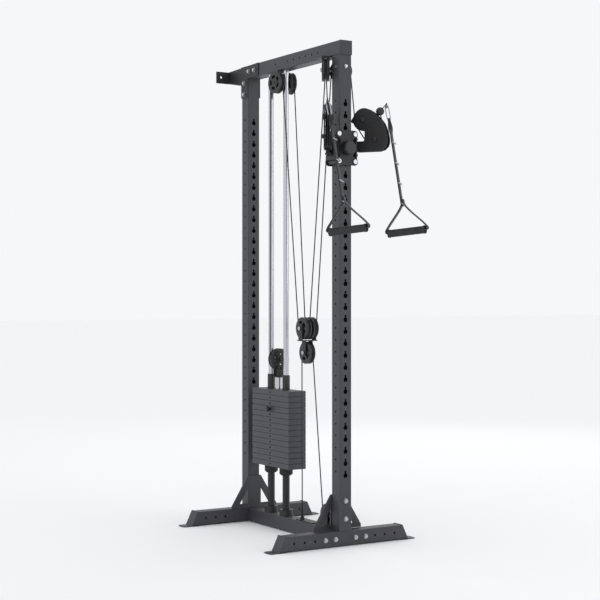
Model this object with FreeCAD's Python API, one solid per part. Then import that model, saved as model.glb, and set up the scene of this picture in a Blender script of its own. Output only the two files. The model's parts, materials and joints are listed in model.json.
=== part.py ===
import FreeCAD, Part
import math
import os

Vector = FreeCAD.Vector

# Driving dimensions in millimetres. X runs across, Y runs back from the front face of
# the front upright, and Z runs up from the floor.
FRAME_TOP = 2112.0
TUBE = 60.0
WALL = 3.0
HALF = TUBE / 2
FOOT = 4.0
BEAM_TOP = FOOT + TUBE
TOP_BEAM_Z = FRAME_TOP - TUBE
REAR_Y = 770.0
REAR_FACE = REAR_Y + TUBE
ORIGIN_Y = 415.0

HOLE_PITCH = 50.0
KEYHOLE_COUNT = 32
KEYHOLE_TOP_Z = 1846.0
PIN_HOLE_RISE = 16.0

FOOT_HALF = 70.0
SLEEVE_END = 130.0
LEG_TOP_END = 289.0
LEG_FLOOR_END = 318.0
TAB_END = 364.0

STACK_Y = 545.0
ROD_SPREAD = 65.0
ROD_RADIUS = 12.5
ROD_YS = (STACK_Y - ROD_SPREAD, STACK_Y + ROD_SPREAD)
COLLAR_TOP = 92.0
RISER_TOP = 244.0
STACK_BOTTOM = 279.4
PLATE_PITCH = 24.7
PLATE_THICK = 24.0
PLATE_COUNT = 14
RESTING_COUNT = 10
PLATE_HALF_X = 45.0
PLATE_HALF_Y = 160.0
STACK_TOP = STACK_BOTTOM + PLATE_PITCH * (PLATE_COUNT - 1) + PLATE_THICK
STEM_RADIUS = 15.0
BAR_RADIUS = 10.0
STEM_TOP = 678.0
BRACKET_TOP = 795.0
STACK_PULLEY_Z = 760.0

CABLE = 2.5
PULLEY_RADIUS = 48.5
PULLEY_WIDTH = 25.0
CABLE_TURN = 44.5
AXLE = 6.0
FIT = 0.05
GAP = 0.3
TOP_PULLEY_Z = 1998.0
REAR_PULLEY = (35.0, 504.0)
REAR_PULLEY_TOE = 6.3
FRONT_PULLEY = (38.0, 94.0)
FRONT_PULLEY_TOE = -31.7
BLOCK_Y = 301.0
BLOCK_Z = 904.0
BLOCK_PULLEY_X = 17.5
LOW_PULLEY_Z = 798.0
CROSS_PLATE_Z = 849.0
BASE_PULLEY = (130.0, 114.0)
ANCHOR_Y = 343.0
ANCHOR_TOP = 114.0

CARRIAGE_Z = 1663.0
PIN_Z = KEYHOLE_TOP_Z - 4 * HOLE_PITCH + PIN_HOLE_RISE
CARRIAGE_HALF = 72.0
ROLLER_X = 40.0
ROLLER_RISE = 57.0
ROLLER_RADIUS = 9.5
PLATE_FRONT = (-10.0, -4.0)
PLATE_REAR = (64.0, 70.0)
HINGE = (67.0, 30.0)
HINGE_Z = (1634.0, 1709.0)
HINGE_PIN = 6.0

ARM_ANGLE = -56.2
ARM_PLATE = (12.0, 16.0)
ARM_PULLEY_RADIUS = 45.0
ARM_PULLEY_WIDTH = 20.0
ARM_TURN = 40.0
ARM_AXLE = 5.0
UPPER_PULLEY = (40.0, 1784.0)
LOWER_PULLEY = (95.0, 1700.0)
BALL = (114.0, 1817.0)
BALL_RADIUS = 17.5
EYE = (143.0, 1837.0)
EYE_RADIUS = 8.0
LINK_RADIUS = 2.0
EYE_WIRE = 1.8

CARABINER_WIRE = 2.3
CARABINER_BEND = 7.5
CARABINER_LENGTH = 46.0
CARABINER_TILT = 11.3
WEBBING_WIDTH = 25.0
WEBBING = 4.0
GRIP_CENTRE = (90.0, -525.0)
GRIP_TILT = 5.5
GRIP_LENGTH = 165.0
GRIP_RADIUS = 16.0
GRIP_BORE = 13.3


# ---- basic solids ----

def block(x_range, y_range, z_range):
    """A box between three pairs of limits."""
    corner = Vector(x_range[0], y_range[0], z_range[0])
    return Part.makeBox(x_range[1] - x_range[0], y_range[1] - y_range[0],
                        z_range[1] - z_range[0], corner)


def rod(radius, start, end):
    """A round bar between two points."""
    way = Vector(*end) - Vector(*start)
    return Part.makeCylinder(radius, way.Length, Vector(*start), way)


def sleeve(outer, inner, start, end):
    """A round tube between two points."""
    return rod(outer, start, end).cut(rod(inner, start, end))


def prism(points, direction):
    """A flat outline pushed along a direction."""
    corners = [Vector(*point) for point in points]
    outline = Part.makePolygon(corners + corners[:1])
    return Part.Face(outline).extrude(Vector(*direction))


def side_prism(outline, x_start, x_end):
    """An outline in (Y, Z) pushed along X."""
    return prism([(x_start, y, z) for y, z in outline], (x_end - x_start, 0, 0))


def front_prism(outline, y_start, y_end):
    """An outline in (X, Z) pushed along Y."""
    return prism([(x, y_start, z) for x, z in outline], (0, y_end - y_start, 0))


def joined(solids):
    """One welded solid made from several that touch or overlap."""
    return solids[0].multiFuse(solids[1:]).removeSplitter()


def mirrored(shape):
    """The same shape on the other side of the machine."""
    return shape.mirror(Vector(0, 0, 0), Vector(1, 0, 0))


def both_sides(solids):
    """The solids and their mirror images."""
    return solids + [mirrored(solid) for solid in solids]


def turned(shape, angle, centre, lift=0.0):
    """A local shape turned about Z and moved to a plan position."""
    moved = shape.copy()
    moved.rotate(Vector(0, 0, 0), Vector(0, 0, 1), angle)
    moved.translate(Vector(centre[0], centre[1], lift))
    return moved


def write_part(name, solids):
    """Move the solids to the part's origin and write them as one node."""
    shape = solids[0] if len(solids) == 1 else Part.makeCompound(solids)
    shape.translate(Vector(0, -ORIGIN_Y, 0))
    shape.exportStep("parts/" + name + ".step")


# ---- tubes and plates of the frame ----

def square_tube(axis, start, end, across, height):
    """A square tube with rounded corners from start to end along X, Y or Z.

    across and height are the tube's centre in the other two directions."""
    length = end - start
    outer = Part.makeBox(TUBE, TUBE, length, Vector(-HALF, -HALF, 0))
    outer = outer.makeFillet(4.0, [e for e in outer.Edges if abs(e.tangentAt(0).z) > 0.9])
    inner_half = HALF - WALL
    inner = Part.makeBox(2 * inner_half, 2 * inner_half, length, Vector(-inner_half, -inner_half, 0))
    tube = outer.cut(inner)
    if axis == "X":
        tube.rotate(Vector(0, 0, 0), Vector(0, 1, 0), 90)
        tube.translate(Vector(start, across, height))
    elif axis == "Y":
        tube.rotate(Vector(0, 0, 0), Vector(1, 0, 0), -90)
        tube.translate(Vector(across, start, height))
    else:
        tube.translate(Vector(across, height, start))
    return tube


def keyhole(face_y, top_z):
    """The opening for one height setting: a round hole, a slot and a pin hole above it."""
    pin_z = top_z + PIN_HOLE_RISE
    inside, outside = face_y + WALL + 1, face_y - 1
    large = rod(10.0, (0, outside, top_z), (0, inside, top_z))
    small = rod(5.0, (0, outside, pin_z), (0, inside, pin_z))
    slot = block((-4.0, 4.0), (outside, inside), (top_z, pin_z))
    return joined([large, small, slot])


def upright(face_y):
    """A post with keyholes up its front face and round holes up both sides."""
    middle = face_y + HALF
    tube = square_tube("Z", BEAM_TOP, TOP_BEAM_Z, 0, middle)
    holes = []
    for index in range(KEYHOLE_COUNT):
        z = KEYHOLE_TOP_Z - index * HOLE_PITCH
        holes.append(keyhole(face_y, z))
        pin_z = z + PIN_HOLE_RISE
        holes.append(rod(4.5, (-HALF - 1, middle, pin_z), (HALF + 1, middle, pin_z)))
    return tube.cut(Part.makeCompound(holes))


def top_beam():
    tube = square_tube("Y", 0, REAR_FACE, 0, TOP_BEAM_Z + HALF)
    z = TOP_BEAM_Z + HALF
    places = [169.0 + HOLE_PITCH * index for index in range(6)] + [525.0]
    holes = [rod(4.5, (-HALF - 1, y, z), (HALF + 1, y, z)) for y in places]
    return tube.cut(Part.makeCompound(holes))


def beam_end_caps():
    """Plastic caps that close both ends of the top beam."""
    plug = HALF - WALL - 0.5
    middle = TOP_BEAM_Z + HALF
    caps = []
    for face, way in ((0.0, 1), (REAR_FACE, -1)):
        ys = sorted((face, face - way * 4.0))
        cover = block((-HALF, HALF), ys, (TOP_BEAM_Z, FRAME_TOP))
        ys = sorted((face, face + way * 20.0))
        stub = block((-plug, plug), ys, (middle - plug, middle + plug))
        caps.append(joined([cover, stub]))
    return caps


def gusset(y_start):
    """A flared plate that braces an upright against its foot."""
    base, shoulder, top = BEAM_TOP, BEAM_TOP + 13.0, BEAM_TOP + 148.0
    wide, narrow = 118.0, 34.0
    outline = [(-wide, base), (wide, base), (wide, shoulder), (narrow, top),
               (-narrow, top), (-wide, shoulder)]
    plate = front_prism(outline, y_start, y_start + 6.0)
    window = front_prism([(34.0, 84.0), (78.0, 84.0), (34.0, 155.0)], y_start - 1, y_start + 7.0)
    return plate.cut(window).cut(mirrored(window))


def foot_centre(y_middle, gusset_y):
    """The centre of a foot, its sleeves inside the legs, and its gusset."""
    middle_z = FOOT + HALF
    tube = square_tube("X", -FOOT_HALF, FOOT_HALF, y_middle, middle_z)
    outer = HALF - WALL - 0.3
    liner = block((-SLEEVE_END, SLEEVE_END), (y_middle - outer, y_middle + outer),
                  (middle_z - outer, middle_z + outer))
    bore = outer - WALL
    hollow = block((-SLEEVE_END, SLEEVE_END), (y_middle - bore, y_middle + bore),
                   (middle_z - bore, middle_z + bore))
    return [tube, liner.cut(hollow), gusset(gusset_y)]


def leg(y_middle):
    """The right-hand leg: a tube with a slanted end, a lip and a floor tab."""
    middle_z = FOOT + HALF
    tube = square_tube("X", FOOT_HALF, LEG_FLOOR_END, y_middle, middle_z)
    slope = (LEG_FLOOR_END - LEG_TOP_END) / TUBE
    slant = front_prism([(LEG_TOP_END, BEAM_TOP), (LEG_FLOOR_END + 1, BEAM_TOP),
                         (LEG_FLOOR_END + 1, FOOT), (LEG_FLOOR_END, FOOT)],
                        y_middle - HALF - 1, y_middle + HALF + 1)
    tube = tube.cut(slant)
    for x in (150.0, 200.0, 250.0):
        tube = tube.cut(rod(5.0, (x, y_middle - HALF - 1, middle_z), (x, y_middle + HALF + 1, middle_z)))
    top = LEG_TOP_END - 2.0 * slope
    end = front_prism([(top, BEAM_TOP + 2.0), (top + 4.5, BEAM_TOP + 2.0),
                       (LEG_FLOOR_END + 4.5, FOOT), (LEG_FLOOR_END + 4.5, 0.0),
                       (LEG_FLOOR_END - 30.0, 0.0), (LEG_FLOOR_END - 30.0, FOOT), (LEG_FLOOR_END, FOOT)],
                      y_middle - HALF, y_middle + HALF)
    tab = block((LEG_FLOOR_END, TAB_END), (y_middle - HALF, y_middle + HALF), (0, FOOT))
    corners = [e for e in tab.Edges if e.CenterOfMass.x > TAB_END - 1 and abs(e.tangentAt(0).z) > 0.9]
    return joined([tube, end, tab.makeFillet(14.0, corners)])


def wall_bracket():
    """The right-hand side plate and rear tab that can be bolted to a wall."""
    outline = [(673, 2112), (951, 2103), (951, 2048), (REAR_FACE, 2025), (REAR_FACE, 1965),
               (REAR_Y, 1965), (REAR_Y, TOP_BEAM_Z), (673, TOP_BEAM_Z)]
    plate = side_prism(outline, HALF, HALF + 4.0)
    tab = block((HALF, 99.0), (951.0, 955.0), (2048.0, 2103.0))
    hole = rod(5.5, (74.0, 950.0, 2077.0), (74.0, 956.0, 2077.0))
    return joined([plate, tab]).cut(hole)


def hex_bolt(start, way, head_radius=9.0, length=24.0):
    """A hexagon-head bolt: the washer and head stand out of the face along way."""
    start = Vector(*start)
    way = Vector(*way)
    washer = Part.makeCylinder(head_radius + 1.5, 1.6, start, way)
    corners = [Vector(head_radius * math.cos(math.radians(60 * k)),
                      head_radius * math.sin(math.radians(60 * k)), 0) for k in range(6)]
    head = Part.Face(Part.makePolygon(corners + corners[:1])).extrude(Vector(0, 0, 6.5))
    head.Placement = FreeCAD.Placement(start + way * 1.6, FreeCAD.Rotation(Vector(0, 0, 1), way))
    shank = Part.makeCylinder(head_radius * 0.5, length, start, way * -1)
    return joined([washer, head, shank])


def hex_bolts():
    """Every visible fastener of the frame."""
    bolts = []
    middle_z = FOOT + HALF
    for x in (50.0, 100.0):
        for side in (-1, 1):
            bolts.append(hex_bolt((side * x, 0, middle_z), (0, -1, 0), length=2.9))
            bolts.append(hex_bolt((side * x, REAR_FACE, middle_z), (0, 1, 0), length=2.9))
    for z in (190.0, 115.0):
        bolts.append(hex_bolt((0, 0, z), (0, -1, 0), length=2.9))
        bolts.append(hex_bolt((0, REAR_FACE, z), (0, 1, 0), length=2.9))
    bolts.append(hex_bolt((0, 0, 2004.0), (0, -1, 0), 6.0, 2.9))
    for side in (-1, 1):
        bolts.append(hex_bolt((side * HALF, HALF, 2004.0), (side, 0, 0), 6.0, 2.9))
        for y, z in ((800.0, 2032.0), (800.0, 1980.0), (706.0, 2082.0), (756.0, 2082.0)):
            bolts.append(hex_bolt((side * (HALF + 4.0), y, z), (side, 0, 0), length=6.9))
    return bolts


# ---- weight stack ----

def rod_holes(radius, z_start, z_end):
    return [rod(radius, (0, y, z_start), (0, y, z_end)) for y in ROD_YS]


def weight_plate(index, centre_hole, rod_hole):
    """One plate of the stack, counted from the bottom, with its selector hole."""
    z = STACK_BOTTOM + index * PLATE_PITCH
    plate = block((-PLATE_HALF_X, PLATE_HALF_X), (STACK_Y - PLATE_HALF_Y, STACK_Y + PLATE_HALF_Y),
                  (z, z + PLATE_THICK))
    plate = plate.makeChamfer(1.2, plate.Edges)
    middle = z + PLATE_THICK / 2
    holes = rod_holes(rod_hole, z - 1, z + PLATE_THICK + 1)
    holes.append(rod(centre_hole, (0, STACK_Y, z - 1), (0, STACK_Y, z + PLATE_THICK + 1)))
    holes.append(rod(5.0 + FIT, (-PLATE_HALF_X - 1, STACK_Y, middle), (0, STACK_Y, middle)))
    return plate.cut(Part.makeCompound(holes))


def plate_middle(index):
    return STACK_BOTTOM + index * PLATE_PITCH + PLATE_THICK / 2


def stack_bumper(y):
    """A rubber buffer with a chamfered lower edge."""
    profile = [(ROD_RADIUS + 0.2, RISER_TOP), (22.0, RISER_TOP), (30.0, RISER_TOP + 8.0),
               (30.0, STACK_BOTTOM - 0.4), (ROD_RADIUS + 0.2, STACK_BOTTOM - 0.4)]
    corners = [Vector(r, 0, z) for r, z in profile]
    face = Part.Face(Part.makePolygon(corners + corners[:1]))
    bumper = face.revolve(Vector(0, 0, 0), Vector(0, 0, 1), 360)
    bumper.translate(Vector(0, y, 0))
    return bumper


def riser(y):
    """A floor collar and the tube that holds the stack up."""
    inner = ROD_RADIUS + 0.2
    collar = sleeve(30.0, inner, (0, y, BEAM_TOP), (0, y, COLLAR_TOP))
    tube = sleeve(16.0, inner, (0, y, COLLAR_TOP), (0, y, RISER_TOP))
    return joined([collar, tube])


def stack_bushing(y):
    """A domed guide that runs on one rod."""
    top, base = STACK_TOP + 67.0, STACK_TOP
    body = rod(17.0, (0, y, base), (0, y, top))
    rim = [e for e in body.Edges if abs(e.CenterOfMass.z - top) < 0.1 and e.Closed]
    body = body.makeFillet(4.0, rim)
    return body.cut(rod(ROD_RADIUS + FIT, (0, y, base - 1), (0, y, top + 1)))


def selector_stem():
    """The lifting bar, cross-drilled at every plate, and the stem above the stack."""
    bar = rod(BAR_RADIUS, (0, STACK_Y, STACK_BOTTOM + 5.0), (0, STACK_Y, STACK_TOP))
    stem = rod(STEM_RADIUS, (0, STACK_Y, STACK_TOP), (0, STACK_Y, STEM_TOP))
    holes = [rod(5.0 + FIT, (-20, STACK_Y, plate_middle(k)), (20, STACK_Y, plate_middle(k)))
             for k in range(PLATE_COUNT)]
    return joined([bar, stem]).cut(Part.makeCompound(holes))


def stack_pulley_bracket():
    """The U-shaped bracket on the stem, with the bolt that carries the pulley."""
    half, thick, reach = 17.0, 4.0, 19.0
    foot = block((-half, half), (STACK_Y - reach, STACK_Y + reach), (STEM_TOP, STEM_TOP + thick))
    cheeks = [block((-half, half), (STACK_Y + side * reach - (thick if side > 0 else 0),
                                    STACK_Y + side * reach + (0 if side > 0 else thick)),
                    (STEM_TOP, BRACKET_TOP)) for side in (-1, 1)]
    frame = joined([foot] + cheeks)
    holes = [rod(4.0, (0, STACK_Y - 30, z), (0, STACK_Y + 30, z)) for z in (781.0, 739.0, 720.0)]
    frame = frame.cut(Part.makeCompound(holes))
    bolt = rod(AXLE, (0, STACK_Y - 24.0, STACK_PULLEY_Z), (0, STACK_Y + 24.0, STACK_PULLEY_Z))
    nuts = [rod(9.0, (0, STACK_Y + side * reach, STACK_PULLEY_Z),
                (0, STACK_Y + side * (reach + 6.0), STACK_PULLEY_Z)) for side in (-1, 1)]
    return joined([frame, bolt] + nuts)


def selector_pin():
    """The weight selector: a round shaft with a knob on the left face of the stack."""
    z = plate_middle(RESTING_COUNT)
    shaft = rod(5.0, (-57.0, STACK_Y, z), (8.0, STACK_Y, z))
    neck = rod(7.0, (-57.0, STACK_Y, z), (-46.0, STACK_Y, z))
    knob = rod(12.0, (-66.0, STACK_Y, z), (-54.0, STACK_Y, z))
    return joined([shaft, neck, knob.makeFillet(2.0, [e for e in knob.Edges if e.Closed])])


# ---- pulleys and cables ----

def pulley(outer, width, turn, bore, slots=5):
    """A grooved wheel about local Z with curved slots through its web."""
    half = width / 2
    floor = turn - CABLE - GAP
    profile = [(bore, -half), (outer - 1.5, -half), (outer, -half + 1.5), (outer, -6.0),
               (floor, -2.8), (floor, 2.8), (outer, 6.0), (outer, half - 1.5),
               (outer - 1.5, half), (bore, half)]
    corners = [Vector(r, 0, z) for r, z in profile]
    wheel = Part.Face(Part.makePolygon(corners + corners[:1]))
    wheel = wheel.revolve(Vector(0, 0, 0), Vector(0, 0, 1), 360)
    slot_in, slot_out = 0.42 * outer, 0.68 * outer
    band = sleeve(slot_out, slot_in, (0, 0, -half - 1), (0, 0, half + 1))
    spread = math.radians(360.0 / slots * 0.33)
    far = 2 * outer
    for index in range(slots):
        wedge = prism([(0, 0, -half - 2), (far * math.cos(spread), -far * math.sin(spread), -half - 2),
                       (far * math.cos(spread), far * math.sin(spread), -half - 2)],
                      (0, 0, width + 4))
        wedge.rotate(Vector(0, 0, 0), Vector(0, 0, 1), 360.0 / slots * index)
        wheel = wheel.cut(band.common(wedge))
    return wheel


def frame_pulley():
    return pulley(PULLEY_RADIUS, PULLEY_WIDTH, CABLE_TURN, AXLE + FIT)


def on_axis(shape, centre, plan_angle):
    """Stand a local-Z wheel up so that its plane runs along plan_angle, at a centre."""
    wheel = shape.copy()
    wheel.rotate(Vector(0, 0, 0), Vector(1, 0, 0), 90)
    wheel.rotate(Vector(0, 0, 0), Vector(0, 0, 1), plan_angle)
    wheel.translate(Vector(*centre))
    return wheel


def cable_turn(centre, plan_angle, turn, start, sweep):
    """An arc of cable about a pulley, from start degrees above the plane's direction."""
    arc = Part.makeTorus(turn, CABLE, Vector(0, 0, 0), Vector(0, 0, 1), -180, 180, sweep)
    arc.rotate(Vector(0, 0, 0), Vector(0, 0, 1), start)
    return on_axis(arc, centre, plan_angle)


def toe_angle(toe):
    """The plan angle of a right-hand top pulley's plane, from its toe off the Y axis."""
    return 90.0 - toe


def tangent(centre, plan_angle, turn, side, z):
    """The point of a pulley's cable circle at its own height, ahead (-1) or behind (1)."""
    angle = math.radians(plan_angle)
    return (centre[0] + side * turn * math.cos(angle), centre[1] + side * turn * math.sin(angle), z)


REAR_ANGLE = toe_angle(REAR_PULLEY_TOE)
FRONT_ANGLE = toe_angle(FRONT_PULLEY_TOE)
REAR_HUB = (REAR_PULLEY[0], REAR_PULLEY[1], TOP_PULLEY_Z)
FRONT_HUB = (FRONT_PULLEY[0], FRONT_PULLEY[1], TOP_PULLEY_Z)
STRAND_END = 0.8
BASE_HUB = (0.0, BASE_PULLEY[0], BASE_PULLEY[1])


def fixed_cable_loops():
    """The half turns over the four top pulleys and under the base pulley."""
    loops = both_sides([cable_turn(REAR_HUB, REAR_ANGLE, CABLE_TURN, 0, 180),
                        cable_turn(FRONT_HUB, FRONT_ANGLE, CABLE_TURN, 0, 180)])
    return loops + [cable_turn(BASE_HUB, 90.0, CABLE_TURN, 180, 180)]


def strand(start, end):
    """A straight run of cable, kept just clear of the turns at its ends."""
    way = Vector(*end) - Vector(*start)
    step = way * (STRAND_END / way.Length)
    return rod(CABLE, tuple(Vector(*start) + step), tuple(Vector(*end) - step))


def stack_cable_strands():
    start = tangent(REAR_PULLEY, REAR_ANGLE, CABLE_TURN, 1, TOP_PULLEY_Z)
    return both_sides([strand(start, (CABLE_TURN, STACK_Y, STACK_PULLEY_Z))])


def block_cable_strands():
    front = tangent(FRONT_PULLEY, FRONT_ANGLE, CABLE_TURN, 1, TOP_PULLEY_Z)
    rear = tangent(REAR_PULLEY, REAR_ANGLE, CABLE_TURN, -1, TOP_PULLEY_Z)
    return both_sides([strand(front, (BLOCK_PULLEY_X, BLOCK_Y - CABLE_TURN, BLOCK_Z)),
                       strand(rear, (BLOCK_PULLEY_X, BLOCK_Y + CABLE_TURN, BLOCK_Z))])


def low_cable_strands():
    front = (0, BLOCK_Y - CABLE_TURN, LOW_PULLEY_Z)
    rear = (0, BLOCK_Y + CABLE_TURN, LOW_PULLEY_Z)
    return [strand((0, BASE_PULLEY[0] + CABLE_TURN, BASE_PULLEY[1]), front),
            strand((0, ANCHOR_Y, ANCHOR_TOP), rear)]


def arm_cable_strands():
    start = tangent(FRONT_PULLEY, FRONT_ANGLE, CABLE_TURN, -1, TOP_PULLEY_Z)
    return both_sides([strand(start, (HINGE[0], HINGE[1], UPPER_PULLEY[1]))])


def rising_cable_strand():
    y = BASE_PULLEY[0] - CABLE_TURN
    return [strand((0, y, BASE_PULLEY[1]), (0, y, CARRIAGE_Z - CARRIAGE_HALF))]


def top_pulley_hangers():
    """The plates and axles that hold the four top pulleys under the beam."""
    top = TOP_BEAM_Z
    under = top - 4.0
    cheek = block((15.0, 19.0), (484.0, 524.0), (TOP_PULLEY_Z - 22.0, under))
    rear_axle = rod(AXLE, (0, 0, -19.0), (0, 0, 19.0))
    rear_axle = on_axis(rear_axle, REAR_HUB, REAR_ANGLE)
    cap = on_axis(rod(10.0, (0, 0, 14.0), (0, 0, 20.0)), REAR_HUB, REAR_ANGLE)
    rear = both_sides([joined([cheek, rear_axle, cap])])
    rear_top = block((-20.0, 20.0), (484.0, 524.0), (under, top))
    rear_top = rear_top.cut(rod(ROD_RADIUS + 0.3, (0, ROD_YS[0], under - 1), (0, ROD_YS[0], top + 1)))
    yoke = [block((-20.0, 20.0), (side * 15.0 - 1.5, side * 15.0 + 1.5), (TOP_PULLEY_Z - 47.0, under))
            for side in (-1, 1)]
    yoke.append(rod(AXLE, (0, -22.0, TOP_PULLEY_Z), (0, 22.0, TOP_PULLEY_Z)))
    yoke = turned(joined(yoke), FRONT_ANGLE, FRONT_PULLEY)
    front_top = block((-72.0, 72.0), (70.0, 124.0), (under, top))
    return [rear_top, front_top] + rear + both_sides([yoke])


def base_cable_fittings():
    """The base pulley's bracket and the anchor that ends the lower cable."""
    y, z = BASE_PULLEY
    cheeks = both_sides([block((14.0, 18.0), (y - 18.0, y + 18.0), (BEAM_TOP, z + 14.0)),
                         block((14.0, 29.0), (y - 18.0, y + 18.0), (BEAM_TOP, BEAM_TOP + 4.0))])
    axle = rod(AXLE, (-22.0, y, z), (22.0, y, z))
    bracket = joined([axle] + cheeks)
    plate = block((-22.0, 22.0), (227.0, 360.0), (BEAM_TOP, BEAM_TOP + 4.0))
    post = rod(7.0, (0, ANCHOR_Y, BEAM_TOP), (0, ANCHOR_Y, ANCHOR_TOP - 12.0))
    nut = rod(10.0, (0, ANCHOR_Y, BEAM_TOP + 4.0), (0, ANCHOR_Y, BEAM_TOP + 12.0))
    crimp = rod(5.0, (0, ANCHOR_Y, ANCHOR_TOP - 12.0), (0, ANCHOR_Y, ANCHOR_TOP))
    return [bracket, joined([plate, post, nut, crimp])]


def block_bracket():
    """The floating block's frame: a cross plate with cheeks up and down."""
    half_y, thick = 15.0, 4.0
    ys = (BLOCK_Y - half_y, BLOCK_Y + half_y)
    cross = block((-42.5, 42.5), ys, (CROSS_PLATE_Z, CROSS_PLATE_Z + thick))
    upper = block((33.0, 37.0), ys, (CROSS_PLATE_Z, BLOCK_Z + 21.0))
    lower = block((15.0, 19.0), ys, (LOW_PULLEY_Z - 15.0, CROSS_PLATE_Z + thick))
    frame = joined([cross] + both_sides([upper, lower]))
    axles = [rod(AXLE, (-50, BLOCK_Y, z), (50, BLOCK_Y, z)) for z in (BLOCK_Z, LOW_PULLEY_Z)]
    return frame.cut(Part.makeCompound(axles))


def block_bolts():
    bolts = []
    for z, reach in ((BLOCK_Z, 37.0), (LOW_PULLEY_Z, 19.0)):
        shaft = rod(AXLE, (-reach, BLOCK_Y, z), (reach, BLOCK_Y, z))
        heads = both_sides([rod(9.5, (reach, BLOCK_Y, z), (reach + 6.0, BLOCK_Y, z))])
        bolts.append(joined([shaft] + heads))
    return bolts


def block_cable_loops():
    loops = both_sides([cable_turn((BLOCK_PULLEY_X, BLOCK_Y, BLOCK_Z), 90.0, CABLE_TURN, 180, 180)])
    return loops + [cable_turn((0, BLOCK_Y, LOW_PULLEY_Z), 90.0, CABLE_TURN, 0, 180)]


# ---- carriage ----

def carriage_outline():
    """Half of the end plate's outline, in (X, Z), with a narrow waist and wide ears."""
    ear, low, high = 16.0, CARRIAGE_Z - ROLLER_RISE, CARRIAGE_Z + ROLLER_RISE
    arc = [math.radians(a) for a in range(-90, 91, 15)]
    lower = [(ROLLER_X + ear * math.cos(a), low + ear * math.sin(a)) for a in arc]
    upper = [(ROLLER_X + ear * math.cos(a), high + ear * math.sin(a)) for a in arc]
    return lower + [(32.0, CARRIAGE_Z - 35.0), (32.0, CARRIAGE_Z + 35.0)] + upper


def carriage_plate(y_range):
    right = carriage_outline()
    left = [(-x, z) for x, z in reversed(right)]
    return front_prism(right + left, y_range[0], y_range[1])


def carriage_bolt_places():
    return [(side * ROLLER_X, CARRIAGE_Z + rise * ROLLER_RISE) for side in (-1, 1) for rise in (-1, 1)]


def hinge_bracket():
    """The right-hand side plate with its two lugs and hinge pin."""
    parts = [block((50.0, 56.0), (PLATE_FRONT[1], PLATE_REAR[0]), (1612.0, 1712.0))]
    for z in HINGE_Z:
        lug_z = (z, z + 8.0) if z == HINGE_Z[0] else (z - 8.0, z)
        parts.append(block((50.0, HINGE[0]), (HINGE[1] - 13.0, HINGE[1] + 13.0), lug_z))
        parts.append(rod(13.0, (HINGE[0], HINGE[1], lug_z[0]), (HINGE[0], HINGE[1], lug_z[1])))
    parts.append(rod(HINGE_PIN, (HINGE[0], HINGE[1], HINGE_Z[0] - 5.0),
                     (HINGE[0], HINGE[1], HINGE_Z[1] + 5.0)))
    return joined(parts)


def carriage_frame():
    """The end plates and hinge brackets that slide on the front upright."""
    holes = [rod(4.0, (x, -12, z), (x, 72, z)) for x, z in carriage_bolt_places()]
    holes.append(rod(4.9 + FIT, (0, -12, PIN_Z), (0, 0, PIN_Z)))
    holes = Part.makeCompound(holes)
    y = BASE_PULLEY[0] - CABLE_TURN
    bottom = CARRIAGE_Z - CARRIAGE_HALF
    lug = block((-9.0, 9.0), (PLATE_REAR[1], y + 7.0), (bottom, bottom + 20.0))
    plates = [carriage_plate(PLATE_FRONT).cut(holes), carriage_plate(PLATE_REAR).cut(holes), lug]
    return plates + both_sides([hinge_bracket()])


def carriage_bolts():
    """The roller bolts, and the spring pins that lock the arms' swivel."""
    bolts = []
    for x, z in carriage_bolt_places():
        shaft = rod(4.0, (x, PLATE_FRONT[0], z), (x, PLATE_REAR[1], z))
        head = rod(9.5, (x, PLATE_FRONT[0] - 6.0, z), (x, PLATE_FRONT[0], z))
        nut = rod(8.0, (x, PLATE_REAR[1], z), (x, PLATE_REAR[1] + 6.0, z))
        bolts.append(joined([shaft, head.makeFillet(2.0, [head.Edges[0]]), nut]))
    return bolts


def carriage_rollers():
    return [sleeve(ROLLER_RADIUS, 4.05, (x, PLATE_FRONT[1] + 1.0, z), (x, PLATE_REAR[0] - 1.0, z))
            for x, z in carriage_bolt_places()]


def pull_pin():
    """The height pin, drawn back clear of the upright, with its round knob."""
    shaft = rod(4.9, (0, -30.0, PIN_Z), (0, -GAP, PIN_Z))
    knob = rod(29.0, (0, -43.0, PIN_Z), (0, -16.0, PIN_Z))
    knob = knob.makeFillet(6.0, [e for e in knob.Edges if e.Closed])
    return joined([shaft, knob])


# ---- arms ----

def arm_outline():
    """The side plate's outline in (distance from the hinge, Z)."""
    centre_d, centre_z, radius = 46.0, 1787.0, 46.0

    def arc(start, stop, step):
        turns = [math.radians(a) for a in range(start, stop, step)]
        return [(centre_d + radius * math.cos(a), centre_z + radius * math.sin(a)) for a in turns]

    circle, lower = arc(50, 163, 12), arc(206, 271, 13)
    inner = [(50.0, 1735.0), (50.0, 1701.0), (45.0, 1694.0), (12.5, 1694.0), (12.5, 1650.0)]
    outer = [(112.0, 1650.0), (132.0, 1655.0), (147.0, 1668.0), (153.0, 1684.0), (153.0, 1702.0),
             (147.0, 1733.0), (133.0, 1766.0), (115.0, 1790.0), (96.0, 1808.0), (82.0, 1819.0)]
    return circle + [(-14.0, 1778.0)] + lower + inner + outer


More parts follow.
